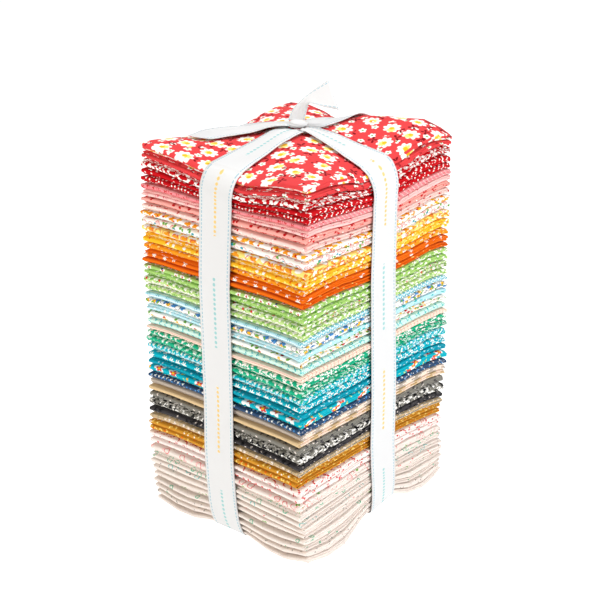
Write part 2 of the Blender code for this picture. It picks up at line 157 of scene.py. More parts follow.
KNOT_RADII = (0.0068, 0.0050, 0.0028)
KNOT_LIFT = 0.0036
KNOT_TURN = math.radians(39.8)
KNOT_STEPS = (48, 25)  # round it and up it
KNOT_CREASE = 0.05  # depth of its small creases
KNOT_CROSS = 0.10  # depth of the crossing ribbon's edge
LEG_START = 0.0050

SEED = 11

# Colours by name, as the eye sees them
INK = {
    "white": (0.97, 0.96, 0.94), "cream": (0.918, 0.872, 0.84), "pale pink": (0.96, 0.79, 0.77),
    "pink": (0.93, 0.56, 0.58), "rose": (0.88, 0.4, 0.45), "coral": (0.85, 0.25, 0.26),
    "crimson": (0.76, 0.02, 0.07), "dark red": (0.48, 0.02, 0.08), "salmon": (0.94, 0.65, 0.61),
    "orange": (0.93, 0.58, 0.1), "pumpkin": (0.9, 0.41, 0.02), "yellow": (0.96, 0.72, 0.14),
    "lemon": (0.98, 0.87, 0.48), "lime": (0.73, 0.85, 0.53), "leaf": (0.42, 0.66, 0.26),
    "green": (0.64, 0.8, 0.44), "mint": (0.8, 0.93, 0.88), "emerald": (0.08, 0.67, 0.5),
    "aqua": (0.72, 0.89, 0.93), "sea": (0.25, 0.72, 0.72), "teal": (0, 0.68, 0.75),
    "deep teal": (0, 0.58, 0.67), "blue": (0.28, 0.54, 0.78), "navy": (0.19, 0.29, 0.42),
    "grey": (0.5, 0.49, 0.46), "warm grey": (0.7, 0.65, 0.6), "charcoal": (0.24, 0.23, 0.24),
    "black": (0.08, 0.08, 0.09), "tan": (0.84, 0.73, 0.56), "peach": (0.95, 0.86, 0.79),
    "gold": (0.79, 0.55, 0.16), "shell": (0.95, 0.9, 0.88), "blush": (0.97, 0.85, 0.82),
    "ribbon": (0.850, 0.852, 0.855), "stitch": (0.36, 0.66, 0.74), "dot teal": (0.50, 0.76, 0.76),
    "dot yellow": (0.93, 0.76, 0.30),
}
# A print's layers, each: colour and motif, spacing in mm, and in percent of that its size. Strewn motifs
# also have the percent of places that have one, and where they have petals their number and depth.
# Strewn: bloom, heart (the middle of one), ring, sprig. Others: lines, band, plaid, lattice, scallop
FAT_QUARTERS = (
    ("red_daisy", 0.0054, "coral", (
        ("white bloom", 9.5, 30, 75, 5, 30), ("leaf heart", 9.5, 30, 75),
        ("dark red bloom", 9, 42, 50, 4, 120), ("coral bloom", 17, 44, 78),
        ("white bloom", 17, 38, 78, 8, 24), ("lemon bloom", 17, 20, 78, 8, 30),
        ("yellow heart", 17, 36, 78))),
    ("red_blossom", 0.0044, "coral", (
        ("white bloom", 8, 30, 45, 5, 35), ("leaf heart", 8, 36, 45),
        ("dark red bloom", 5, 28, 50, 4, 130))),
    ("crimson_branch", 0.006, "crimson", (
        ("white sprig", 7.6, 50, 100, 2, 60), ("white sprig", 6.2, 50, 100, 3, 70))),
    ("crimson_bud", 0.0042, "crimson", (("white sprig", 5, 42, 85, 2, 50),)),
    ("crimson_dot", 0.004, "crimson", (("white bloom", 2.7, 26, 75),)),
    ("rose_plaid", 0.004, "pink", (
        ("crimson plaid", 8.2, 50), ("blush band", 4.1, 20), ("crimson bloom", 5, 24, 50, 3, 60))),
    ("pink_plaid", 0.004, "pale pink", (("rose plaid", 8.4, 50), ("rose bloom", 5, 26, 40, 3, 60))),
    ("salmon_sprig", 0.005, "salmon", (
        ("crimson sprig", 6.4, 34, 75, 2, 70), ("white bloom", 5.6, 14, 50))),
    ("pink_sprig", 0.0049, "blush", (
        ("crimson sprig", 6, 30, 60, 2, 60), ("white bloom", 5, 16, 60, 4, 40))),
    ("citrus_patch", 0.0046, "white", (
        ("orange bloom", 6.5, 40, 60, 4, 45), ("yellow bloom", 5.5, 38, 60, 5, 30),
        ("crimson bloom", 4.6, 18, 55))),
    ("ringed_white", 0.0058, "white", (
        ("coral ring", 6, 34, 85), ("pale pink bloom", 6, 30, 60), ("leaf sprig", 7, 30, 50, 2, 60),
        ("deep teal bloom", 8, 16, 50))),
    ("citrus_lattice", 0.006, "lemon", (
        ("white bloom", 6.5, 46, 85, 4, 20), ("orange bloom", 7, 44, 75, 4, 35),
        ("coral ring", 7.5, 36, 50))),
    ("yellow_flower", 0.0064, "yellow", (
        ("lemon bloom", 6.5, 44, 70, 5, 45), ("orange heart", 6.5, 44, 70),
        ("pumpkin bloom", 5, 28, 50, 2, 70), ("white bloom", 4.6, 30, 50, 4, 40))),
    ("orange_sprig", 0.0046, "orange", (
        ("cream sprig", 5, 40, 80, 2, 60), ("crimson bloom", 5.2, 20, 55, 3, 60),
        ("lemon bloom", 4.4, 28, 60, 4, 40))),
    ("orange_pair", 0.0044, "pumpkin", (
        ("white bloom", 8.5, 24, 75, 6, 70), ("white bloom", 5.5, 16, 30, 5, 50))),
    ("orange_bud", 0.0043, "pumpkin", (("lemon bloom", 7.5, 18, 50, 5, 60),)),
    ("lime_posy", 0.0043, "green", (
        ("white bloom", 6, 40, 80, 5, 40), ("crimson heart", 6, 42, 80), ("navy bloom", 7.5, 16, 40),
        ("leaf bloom", 4.4, 26, 60, 2, 60))),
    ("lime_bud", 0.0045, "green", (
        ("white bloom", 4.8, 36, 80, 4, 45), ("leaf bloom", 4, 28, 70, 2, 70))),
    ("green_white", 0.0058, "lime", (
        ("white bloom", 5.2, 46, 100, 4, 40), ("leaf sprig", 5.6, 42, 80, 3, 60),
        ("coral bloom", 6.4, 16, 40))),
    ("olive_leaf", 0.0046, "lime", (
        ("white bloom", 4.4, 44, 90, 4, 30), ("leaf sprig", 5.6, 46, 85, 3, 60))),
    ("aqua_plaid", 0.0045, "aqua", (("deep teal plaid", 8.6, 50), ("white band", 4.3, 30))),
    ("cream_outline", 0.0048, "white", (
        ("blue bloom", 7.2, 34, 50, 4, 20), ("yellow bloom", 6.4, 30, 50, 4, 20),
        ("navy ring", 6.2, 34, 80), ("leaf bloom", 5.4, 26, 60, 2, 50))),
    ("aqua_block", 0.0038, "aqua", (
        ("sea bloom", 6.6, 30, 60, 4, 30), ("white bloom", 4.6, 28, 60, 4, 40))),
    ("cream_posy", 0.0052, "white", (
        ("leaf sprig", 6.4, 44, 75, 2, 60), ("crimson bloom", 6.8, 22, 50),
        ("yellow bloom", 5.8, 24, 50, 5, 30))),
    ("mint_scallop", 0.0048, "mint", (("teal scallop", 5, 12), ("sea bloom", 5, 20, 60, 2, 50))),
    ("peach_line", 0.004, "peach", (("coral band", 3.6, 12),)),
    ("emerald_laurel", 0.005, "emerald", (
        ("white sprig", 6.4, 50, 100, 3, 85), ("white sprig", 5.2, 50, 80, 3, 60))),
    ("emerald_branch", 0.0049, "emerald", (
        ("mint sprig", 5.6, 50, 100, 3, 80), ("white sprig", 4.6, 48, 60, 2, 60))),
    ("teal_print", 0.0062, "teal", (
        ("aqua bloom", 4.4, 42, 100, 4, 60), ("emerald sprig", 5.2, 44, 80, 2, 60),
        ("white bloom", 3.6, 32, 85, 5, 50))),
    ("teal_white", 0.0056, "teal", (("white bloom", 6, 44, 90, 7, 70),)),
    ("teal_plain", 0.0044, "deep teal", (
        ("teal bloom", 3, 30, 70, 3, 40), ("aqua bloom", 3.8, 26, 60, 4, 50))),
    ("teal_flower", 0.0056, "teal", (
        ("yellow bloom", 6, 20, 40, 5, 30), ("lime bloom", 5, 22, 50, 2, 60), ("teal bloom", 13, 46, 85),
        ("white bloom", 13, 40, 85, 5, 40), ("coral bloom", 13, 26, 85, 5, 40),
        ("yellow heart", 13, 30, 85))),
    ("navy_star", 0.004, "navy", (
        ("white bloom", 3.6, 28, 75, 4, 60), ("blue bloom", 3.4, 26, 60, 3, 40))),
    ("beige_gingham", 0.0044, "warm grey", (("peach band", 17, 50), ("white band", 8.5, 12))),
    ("peach_gingham", 0.0046, "tan", (("peach band", 17, 50), ("white band", 8.5, 10))),
    ("grey_sprig", 0.0056, "grey", (
        ("charcoal bloom", 5, 34, 75, 3, 70), ("cream bloom", 5.6, 18, 50, 2, 50))),
    ("grey_branch", 0.006, "grey", (
        ("black bloom", 5.2, 44, 80, 3, 30), ("white sprig", 6.2, 50, 100, 3, 75),
        ("white sprig", 4.8, 50, 70, 2, 50))),
    ("charcoal_spot", 0.0046, "charcoal", (
        ("cream bloom", 4.4, 18, 60, 4, 60), ("black bloom", 5, 34, 60, 3, 50))),
    ("tan_sprig", 0.0042, "tan", (("grey lines", 5.2, 12), ("cream bloom", 4.6, 28, 70, 3, 50))),
    ("gold_fleck", 0.0043, "gold", (
        ("lemon sprig", 4.4, 36, 85, 2, 60), ("white bloom", 5.2, 16, 60, 4, 40))),
    ("gold_scroll", 0.0043, "gold", (
        ("lemon sprig", 5, 34, 70, 2, 50), ("pumpkin bloom", 5.4, 22, 50, 4, 40))),
    ("white_cherry", 0.005, "shell", (
        ("crimson sprig", 6.6, 44, 90, 3, 42), ("crimson ring", 6.4, 20, 30))),
    ("white_berry", 0.0048, "shell", (("coral sprig", 5.6, 30, 70, 2, 60),)),
    ("cream_ring", 0.0063, "cream", (
        ("coral ring", 7.6, 28, 50), ("pale pink bloom", 5.4, 22, 40),
        ("leaf sprig", 8, 20, 30, 2, 60))),
    ("cream_circle", 0.0055, "cream", (("emerald ring", 7.4, 24, 45), ("charcoal bloom", 7, 8, 60))),
    ("cream_spot", 0.0055, "cream", (("charcoal bloom", 7.4, 9, 50), ("sea ring", 8.2, 22, 40))),
    ("cream_line", 0.0054, "cream", (
        ("grey bloom", 6, 14, 50, 2, 80), ("coral sprig", 8.4, 22, 40, 2, 20))),
    ("cream_weave", 0.0054, "cream", (
        ("leaf sprig", 8.4, 26, 40, 2, 30), ("charcoal bloom", 7.4, 6, 50))),
    ("cream_box", 0.0054, "cream", (("grey lattice", 9.5, 3.5), ("emerald ring", 8, 16, 30))),
    ("cream_grid", 0.0054, "cream", (
        ("emerald sprig", 8, 24, 40, 2, 30), ("grey bloom", 6.4, 9, 40, 2, 60))),
    ("cream_stroke", 0.0054, "cream", (
        ("grey bloom", 6, 16, 50, 2, 85), ("charcoal bloom", 8.6, 8, 50, 2, 60))),
    ("cream_plain", 0.0054, "cream", (("grey lattice", 8, 3.5),)),
)


def ease_in(height, reach):
    """Return 1 at height 0 and 0 from reach upward, falling evenly."""
    return np.clip(1 - height / reach, 0, 1)


def quarter_round(height, reach):
    """Return 0 at reach and 1 at height 0, along a quarter circle."""
    return 1 - np.sqrt(1 - ease_in(height, reach) ** 2)


def soft_step(t):
    """Return t between 0 and 1, half of it eased at both ends."""
    t = np.clip(t, 0, 1)
    return 0.5 * t + 0.5 * t * t * (3 - 2 * t)


def beyond_groove(along, groove, half):
    """Return 0 under the ribbon and 1 at the square's edge, eased between."""
    middle = (groove[0] + groove[1]) / 2
    reach = np.where(along > middle, half - middle, half + middle)
    return soft_step((np.abs(along - middle) - FLAT_GROOVE) / (reach - FLAT_GROOVE))


def side_value(x, y, column):
    """Return the values of that column for the sides that x and y lie towards."""
    on_x = np.where(x < 0, SIDES["left"][column], SIDES["right"][column])
    on_y = np.where(y < 0, SIDES["front"][column], SIDES["back"][column])
    return on_x, on_y


def toward_side(x, y):
    """Return how far a point lies from the middle towards its X side and its Y side, 0 to 1."""
    near_x = (np.abs(x) - SIDE_FROM_X) / (HALF_X - SIDE_FROM_X)
    near_y = (np.abs(y) - SIDE_FROM_Y) / (HALF_Y - SIDE_FROM_Y)
    return np.clip(near_x, 0, 1), np.clip(near_y, 0, 1)


def pinch(x, y, column):
    """Return a fold's depth: full where a ribbon crosses a side, none at the corners."""
    out_x = beyond_groove(x, GROOVE_X, HALF_X)
    out_y = beyond_groove(y, GROOVE_Y, HALF_Y)
    near_x, near_y = toward_side(x, y)
    on_x, on_y = side_value(x, y, column)
    return on_x * near_x * (1 - out_y) + on_y * near_y * (1 - out_x)


def base_rise(x, y):
    """Return the underside's height: a groove above each ribbon that fades beside it."""
    mid_x, mid_y = CROSSING
    near_x, near_y = toward_side(x, y)
    on_x, on_y = side_value(x, y, 2)
    fade_x = np.exp(-(np.clip(np.abs(y - mid_y) - FLAT_GROOVE, 0, 1) / BASE_GRIP) ** 2)
    fade_y = np.exp(-(np.clip(np.abs(x - mid_x) - FLAT_GROOVE, 0, 1) / BASE_GRIP) ** 2)
    along_x = fade_x * (BASE_HOLLOW + (on_x - BASE_HOLLOW) * near_x)
    along_y = fade_y * (BASE_HOLLOW + (on_y - BASE_HOLLOW) * near_y)
    return np.maximum(along_x, along_y)


def puffs(x, y, table):
    """Return the sum of the table's bell-shaped rises at each point."""
    total = np.zeros_like(x)
    for _, mid_x, mid_y, high, reach_x, reach_y in table:
        total += high * np.exp(-((x - mid_x) / reach_x) ** 2 - ((y - mid_y) / reach_y) ** 2)
    return total


def waves(x, y, z):
    """Return the uneven stacking's rise: products of sines along x, y and z, none at the base."""
    total = np.zeros_like(x)
    for high, length_x, length_y, length_z, start in WAVES:
        total += high * (np.sin(2 * np.pi * x / length_x + start + 3 * z / length_z)
                         * np.sin(2 * np.pi * y / length_y + 2 * start)
                         + np.sin(2 * np.pi * z / length_z + start + x / length_x - y / length_y))
    return total * np.clip(z / WAVE_FADE, 0, 1)


def turned(x, y, angle):
    """Return x and y turned by an angle in radians."""
    return np.cos(angle) * x - np.sin(angle) * y, np.sin(angle) * x + np.cos(angle) * y


def tied_shape(points):
    """Return where points of the square, level stack lie in the tied bundle.

    Edges are drawn in, heights gain the pinches, puffs, waves and the underside's rise, and the
    stack turns and shifts with height.
    """
    x, y, z = np.asarray(points, float).T
    below = HEIGHT - z
    grip_x = (1 - beyond_groove(x, GROOVE_X, HALF_X)) ** GRIP_POWER
    grip_y = (1 - beyond_groove(y, GROOVE_Y, HALF_Y)) ** GRIP_POWER
    top_x, top_y = side_value(x, y, 4)
    base_x, base_y = side_value(x, y, 5)
    round_top = quarter_round(below, ROUND_TOP)
    round_base = quarter_round(z, ROUND_BASE)
    tuck = TUCK * ease_in(z, TUCK_REACH) ** 2
    rim_x = np.clip((np.abs(x) - RIM_FROM_X) / (HALF_X - RIM_FROM_X), 0, RIM_MOST)
    rim_y = np.clip((np.abs(y) - RIM_FROM_Y) / (HALF_Y - RIM_FROM_Y), 0, RIM_MOST)
    x = x - np.sign(x) * rim_x * ((top_x * round_top + base_x * round_base) * grip_y + tuck)
    y = y - np.sign(y) * rim_y * ((top_y * round_top + base_y * round_base) * grip_x + tuck)

    shallow = ease_in(below, SHALLOW_TOP)
    rise = -pinch(x, y, 0) * shallow - pinch(x, y, 1) * ease_in(below, DEEP_TOP)
    rise += puffs(x, y, PUFFS) * shallow + waves(x, y, z)
    rise += puffs(x, y, DROOPS) * (1 - shallow) * (1 - ease_in(z, DROOP_FADE))
    near_base = ease_in(z, SHALLOW_BASE)
    rise += np.maximum(base_rise(x, y) + puffs(x, y, CURLS) - SETTLED, 0) * near_base
    rise += pinch(x, y, 3) * ease_in(z, DEEP_BASE) * (1 - near_base)

    heights, turns, shifts = np.array(LEAN).T
    turn = np.radians(np.interp(z, heights, turns))
    shift = np.interp(z, heights, shifts)
    x, y = turned(x, y, turn)
    return np.column_stack((x + shift * LEAN_WAY[0], y + shift * LEAN_WAY[1], z + rise))


def from_knot(offsets):
    """Return points given as right, away and up from the knot's middle, turned as the knot is."""
    right, away, up = np.asarray(offsets, float).T
    middle = tied_shape([(*CROSSING, HEIGHT)])[0] + (0, 0, KNOT_LIFT)
    return middle + np.column_stack((*turned(right, away, KNOT_TURN), up))


def on_top_cloth(spots):
    """Return points given as x, y and height over the top cloth."""
    spots = np.asarray(spots, float)
    ground = tied_shape(np.column_stack((spots[:, :2], np.full(len(spots), HEIGHT))))
    return np.column_stack((spots[:, :2], ground[:, 2] + spots[:, 2]))


# Meshes

def grid_mesh(name, points, flat, closed=False):
    """Return a mesh of quads over rows and columns of points, with its flat place as UV map."""
    rows, columns = points.shape[:2]
    number = np.arange(rows * columns).reshape(rows, columns)
    if closed:
        number = np.column_stack((number, number[:, :1]))
    corners = (number[:-1, :-1], number[:-1, 1:], number[1:, 1:], number[1:, :-1])
    quads = np.stack(corners, axis=-1).reshape(-1, 4)
    mesh = bpy.data.meshes.new(name)
    mesh.from_pydata(points.reshape(-1, 3), [], quads)
    mesh.shade_smooth()
    layer = mesh.uv_layers.new(name="flat")
    layer.data.foreach_set("uv", flat.reshape(-1, 2)[quads.ravel()].ravel())
    mesh.update()
    return mesh


def new_object(name, data):
    """Return a new object of the scene with that data."""
    made = bpy.data.objects.new(name, data)
    scene.collection.objects.link(made)
    return made


def add_piece(name, mesh, material, node, thick=None):
    """Add one piece in place of its CAD node, with the cloth's thickness where it has one."""
    piece = new_object(name, mesh)
    mesh.materials.append(material)
    if thick:
        solid = piece.modifiers.new("Cloth thickness", "SOLIDIFY")
        solid.thickness = thick
        solid.offset = 0
    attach(piece, "root")
    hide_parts(node)
    return piece


def spaced(half, groove):
    """Return lines across the stack, closer at the edges and where the ribbon's groove bends."""
    steps = (0.0, 0.05, 0.16, 0.36, 0.64, 0.87, 1.0)
    low = [-half + (groove[0] + half) * s for s in steps]
    high = [groove[1] + (half - groove[1]) * s for s in steps]
    return np.array(low + [sum(groove) / 2] + high)


def folded_path(lines, levels, pitch, turns):
    """Return along, up, flat and fold number of a strip laid back and forth.

    The strip runs over the lines at each level in turn, with pressed half rounds between, round one
    middle at each end. The packet's middle is at height 0, and flat is the length along the strip.
    """
    reach = lines[-1] - max(abs(a - b) for a, b in zip(levels, levels[1:])) * pitch / 2
    bend = np.arange(1, turns) * np.pi / turns
    along, up, fold = [], [], []
    for number, level in enumerate(levels):
        way = 1 if number % 2 == 0 else -1
        height = (level - (len(levels) - 1) / 2) * pitch
        start = -way * (reach - (RAW_BACK if number == 0 else 0))
        end = way * (reach - (RAW_BACK if number == len(levels) - 1 else 0))
        along.append(np.clip(lines if way > 0 else lines[::-1], min(start, end), max(start, end)))
        up.append(np.full(len(lines), height))
        fold.append(np.full(len(lines), number * 2))
        if number < len(levels) - 1:
            radius = (levels[number + 1] - level) * pitch / 2
            along.append(way * (reach + np.sin(bend) ** PRESSED * abs(radius)))
            up.append(height + (1 - np.sign(np.cos(bend)) * np.abs(np.cos(bend)) ** PRESSED) * radius)
            fold.append(np.full(len(bend), number * 2 + 1))
    along, up, fold = (np.concatenate(part) for part in (along, up, fold))
    flat = np.concatenate(([0], np.cumsum(np.hypot(np.diff(along), np.diff(up)))))
    return along, up, flat, fold


def round_the_folds(flat, fold):
    """Return how far the last folds have turned each place on a path.

    Beside a fold the angle dies away, because the plies slip there. Times a ply's height it is the
    length that the ply gains.
    """
    total = np.zeros_like(flat)
    for number in range(1, RUNS * 2 - 1, 2):
        start, end = flat[fold == number - 1][-1], flat[fold == number + 1][0]
        angle = np.clip((flat - start) / (end - start), 0, 1) * np.pi - np.pi / 2
        away = np.maximum(np.maximum(start - flat, flat - end), 0)
        side = 1 if number % 4 == 3 else -1
        total += side * angle * np.clip(1 - away / SLIP_REACH, 0, 1)
    return total


def pulled_back(out, along, turns, run, rng):
    """Return how far points shift so that folds lie short of the square, more or less along it.

    A fold's shortfall is a mean, two sines along the fold and a share of its own.
    """
    starts = rng.uniform(0, 2 * np.pi, (2 * RUNS, 3))[run]
    first, second, own = (starts[:, k][:, None] for k in range(3))
    drift = np.sin(along * turns[0] + first) + np.sin(along * turns[1] + second)
    short = SHORT_MEAN + SHORT_DRIFT * drift + SHORT_OWN * np.sin(own)
    return np.sign(out) * np.clip(np.abs(out), 0, 1) ** 6 * np.clip(short, 0, SHORT_MOST)


def fold_quarter(base, thick, facing, turned_over, rng):
    """Return a fat quarter's points and flat places.

    The first folds halve the cloth twice across X, so its four plies lie in the order 1, 4, 3, 2.
    That packet is carried along the last fold, a path of three runs along Y: each point lies its
    ply's height from the path, square to it, so outer plies go round the outside of each fold.
    """
    pitch = thick / RUNS
    ply = pitch / PLIES
    path_y, path_z, flat_v, run = folded_path(
        spaced(HALF_Y, GROOVE_Y), (0, 1, 2), pitch * LOOSE, RUN_TURNS)
    ply_x, ply_h, flat_u, _ = folded_path(
        spaced(HALF_X, GROOVE_X), (0, 3, 2, 1), ply * PACKED, PLY_TURNS)
    slope_y, slope_z = np.gradient(path_y), np.gradient(path_z)
    size = np.hypot(slope_y, slope_z)
    normal_y, normal_z = -slope_z / size, slope_y / size
    y = path_y[:, None] + normal_y[:, None] * ply_h[None]
    z = path_z[:, None] + normal_z[:, None] * ply_h[None] + base + thick / 2
    x = np.broadcast_to(ply_x[None], y.shape).copy()

    x -= pulled_back(x / HALF_X, y, SHORT_TURNS_Y, run, rng)
    y -= pulled_back(y / HALF_Y, x, SHORT_TURNS_X, run, rng)
    points = np.stack((x * turned_over, y * facing, z), axis=-1)
    u = np.broadcast_to(flat_u[None] * turned_over * facing, y.shape)
    v = flat_v[:, None] + round_the_folds(flat_v, run)[:, None] * ply_h[None]
    return points, np.stack((u, v), axis=-1)


def add_fat_quarters(materials):
    """Stack the fat quarters from the top down, each a little askew, and tie them into shape."""
    slips = np.random.default_rng(SEED)
    rng = np.random.default_rng(SEED + 1)
    top = HEIGHT
    for number, (name, thick, _, _) in enumerate(FAT_QUARTERS, start=1):
        base = top - thick
        slip = slips.uniform(-FOLD_SLIP, 0, 2)
        facing = 1 if slips.random() < MOSTLY else -1
        turned_over = -1 if rng.random() < TURNED_OVER else 1
        points, flat = fold_quarter(base, thick - QUARTER_GAP, facing, turned_over, rng)
        scale = 1 + slip / (HALF_X, HALF_Y)
        shape = points.shape
        points = tied_shape(points.reshape(-1, 3) * (*scale, 1)).reshape(shape)
        node = f"fq{number:02d}_{name}"
        mesh = grid_mesh(f"{name}_cloth", points, flat)
        piece = add_piece(f"{node}_cloth", mesh, materials[name], node, CLOTH)
        top = base


# Ribbon

BEND_RADIUS = 0.0024
PATH_STEP = 0.003
UNDER_OUTER = (-0.030, 0.026)  # where a band starts to rise to the crossing underneath
UNDER_INNER = (-0.018, 0.014)  # and where it reaches it
BAND_UNDER = 0.0012  # the left-right band passes this far under the other
PLEATED = (0.002, 0.040)  # where the narrowing starts along the band, and its length
PLEAT, CROWN = 0.0009, 0.00025  # how high the pleats and the band's middle rise
LEVEL_IN, LEVEL_REACH = 0.012, 0.025  # both fade over this reach, that far inside the edge
ACROSS = 13  # points across the ribbon
FREE_ROWS = 30
FREE_PLEAT = 0.0005


def rounded(corners, radius, gap):
    """Return a path through the corners with each one rounded, sampled about every gap."""
    corners = np.asarray(corners, float)
    path = [corners[:1]]
    for before, corner, after in zip(corners[:-2], corners[1:-1], corners[2:]):
        into = (corner - before) / np.linalg.norm(corner - before)
        out = (after - corner) / np.linalg.norm(after - corner)
        t = np.linspace(0, 1, 7)[:, None]
        start, end = corner - into * radius, corner + out * radius
        path.append((1 - t) ** 2 * start + 2 * t * (1 - t) * corner + t ** 2 * end)
    path = np.concatenate(path + [corners[-1:]])
    length = np.concatenate(([0], np.cumsum(np.linalg.norm(np.diff(path, axis=0), axis=1))))
    at = np.unique(np.concatenate((np.arange(0, length[-1], gap), length)))
    return np.column_stack([np.interp(at, length, path[:, k]) for k in range(2)]), at


def band_points(half, middle, under, pinned):
    """Return a band's points before tying: across, along and up, with its flat places.

    It goes round from the knot to the knot, and narrows to pinned there, in small pleats.
    """
    over = HEIGHT + RIBBON_OFF
    out = half + RIBBON_OFF
    corners = [(middle - LEG_START, over), (-out, over), (-out, -RIBBON_OFF),
               (UNDER_OUTER[0], -RIBBON_OFF), (UNDER_INNER[0], -under), (UNDER_INNER[1], -under),
               (UNDER_OUTER[1], -RIBBON_OFF), (out, -RIBBON_OFF), (out, over),
               (middle + LEG_START, over)]
    path, length = rounded(corners, BEND_RADIUS, PATH_STEP)
    from_end = np.minimum(length, length[-1] - length)
    spread = pinned + (1 - pinned) * soft_step((from_end - PLEATED[0]) / PLEATED[1])
    across = np.linspace(-0.5, 0.5, ACROSS)
    width = across[None] * RIBBON_WIDTH * spread[:, None]
    pleat = (1 - spread[:, None]) * PLEAT * (1 - np.cos(across[None] * 2 * np.pi * 3))
    crown = CROWN * (1 - (2 * across[None]) ** 2)
    inside = soft_step((half - LEVEL_IN - np.abs(path[:, 0])) / LEVEL_REACH)
    up = path[:, 1:] + (inside * (path[:, 1] > HEIGHT))[:, None] * (pleat + crown)
    along = np.broadcast_to(path[:, 0][:, None], up.shape)
    flat = np.stack(np.broadcast_arrays(across[None] * RIBBON_WIDTH, length[:, None]), axis=-1)
    return np.stack((width, along, up), axis=-1), flat, length[-1]


def add_ribbon(name, part, material, points, flat):
    """Add a piece of ribbon in place of that part of the CAD's ribbon."""
    mesh = grid_mesh(name, points, flat)
    return add_piece(name, mesh, material, f"ribbon_{part}", RIBBON_THICK)


def add_bands(material):
    """Add the two bands, which start and end at the knot and cross under the stack."""
    heights, *drifts = np.array(RIBBON_DRIFT).T
    # part, half the stack along it, how far under the other, share of its width at the knot
    bands = (("front_back", HALF_Y, 0, 0.80), ("left_right", HALF_X, BAND_UNDER, 0.48))
    for side, (part, half, under, pinned) in enumerate(bands):
        points, flat, length = band_points(half, CROSSING[1 - side], RIBBON_OFF + under, pinned)
        if part == "left_right":
            points = np.stack((points[..., 1], -points[..., 0], points[..., 2]), axis=-1)
        points[..., side] += CROSSING[side] + np.interp(points[..., 2], heights, drifts[side])
        points = tied_shape(points.reshape(-1, 3)).reshape(points.shape)
        piece = add_ribbon(f"band_{part}", part, material, points, flat)


def smooth_rows(edges, rows):
    """Return both edges of a strip resampled evenly, on smooth curves through the given rows."""
    edges = np.asarray(edges, float)
    padded = np.concatenate((2 * edges[:1] - edges[1:2], edges, 2 * edges[-1:] - edges[-2:-1]))
    at = np.linspace(0, len(edges) - 1, rows)
    k = np.minimum(at.astype(int), len(edges) - 2)
    t = (at - k)[:, None, None]
    a, b, c, d = (padded[k + i] for i in range(4))
    return 0.5 * (2 * b + (c - a) * t + (2 * a - 5 * b + 4 * c - d) * t ** 2
                  + (3 * b - a - 3 * c + d) * t ** 3)


# Both edges of each free end, from the knot to its slanting cut
STANDING_END = (
    ((-0.006, 0.001, 0.002), (0.0044, 0.0005, 0.002)),
    ((-0.003, 0.003, 0.0085), (0.0058, 0.001, 0.008)),
    ((0.0032, 0.005, 0.0148), (0.0078, 0.0005, 0.013)),
    ((0.0113, 0.0068, 0.0208), (0.0162, -0.003, 0.0118)),
    ((0.0195, 0.008, 0.0262), (0.0258, -0.006, 0.0105)),
)
LYING_END = (
    ((-0.0075, 0.0035, 0.0034), (-0.004, -0.004, 0.0034)),
    ((-0.022, 0.002, 0.0028), (-0.0175, -0.012, 0.0026)),
    ((-0.036, -0.007, 0.003), (-0.0285, -0.0225, 0.0016)),
    ((-0.048, -0.016, 0.003), (-0.033, -0.031, 0.001)),
    ((-0.0545, -0.029, 0.0018), (-0.0355, -0.042, 0.0006)),
    ((-0.051, -0.0465, 0.0006), (-0.045, -0.0475, 0.0006)),
)


def free_end_points(edges, placed, phase):
    """Return a free end's points: straight across between its edges, with pleats near the knot."""
    rows = smooth_rows(edges, FREE_ROWS)
    across = np.linspace(0, 1, ACROSS)
    points = rows[:, :1] + (rows[:, 1:] - rows[:, :1]) * across[None, :, None]
    near = np.linspace(1, 0, FREE_ROWS)[:, None] ** 1.5
    ripple = FREE_PLEAT * near * np.sin(across[None] * 2 * np.pi * 2.5 + phase)
    points[..., 2 if placed is on_top_cloth else 1] += ripple
    placed_points = placed(points.reshape(-1, 3)).reshape(points.shape)
    middle = placed_points[:, ACROSS // 2]
    length = np.concatenate(([0], np.cumsum(np.linalg.norm(np.diff(middle, axis=0), axis=1))))
    along = FREE_FROM + length[:, None]
    flat = np.stack(np.broadcast_arrays((across[None] - 0.5) * RIBBON_WIDTH, along), axis=-1)
    return placed_points, flat, length[-1]


def add_free_ends(material):
    """Add the standing and the lying free end."""
    # name, edges, how they are placed, start of the pleats, how it is held, share of its area left
    ends = (("standing_end", STANDING_END, from_knot, 0.5, "folded", 0.62),
            ("lying_end", LYING_END, on_top_cloth, 0.0, "laid", 0.75))
    for name, edges, placed, phase, held, share in ends:
        points, flat, length = free_end_points(edges, placed, phase)
        piece = add_ribbon(name, name, material, points, flat)


def add_knot(material):
    """Add the knot: a flattened ball with turns of ribbon that cross it in soft ridges.

    The radius at angles a, round, and b, up, is 1 less small creases along two slanting ways.
    """
    a = np.linspace(0, 2 * np.pi, KNOT_STEPS[0], endpoint=False)
    b = np.linspace(-np.pi / 2, np.pi / 2, KNOT_STEPS[1])
    b[[0, -1]] += (0.02, -0.02)
    a, b = np.meshgrid(a, b)
    slant = np.sin(3 * b + 2 * a) + 0.6 * np.sin(7 * b - 2 * a + 1)
    crossing = np.exp(-(np.sin(b + 0.5 * np.cos(a)) / 0.15) ** 2)
    radius = 1 - KNOT_CREASE * np.abs(slant) - KNOT_CROSS * crossing
    ball = np.stack((np.cos(a) * np.cos(b), np.sin(a) * np.cos(b), np.sin(b)), axis=-1)
    points = from_knot((ball * radius[..., None]).reshape(-1, 3) * KNOT_RADII).reshape(ball.shape)
    flat = np.stack((a * KNOT_RADII[0], b * KNOT_RADII[0] + 0.1), axis=-1)
    mesh = grid_mesh("knot", points, flat, closed=True)
    add_piece("knot", mesh, material, "ribbon_knot")


# Materials

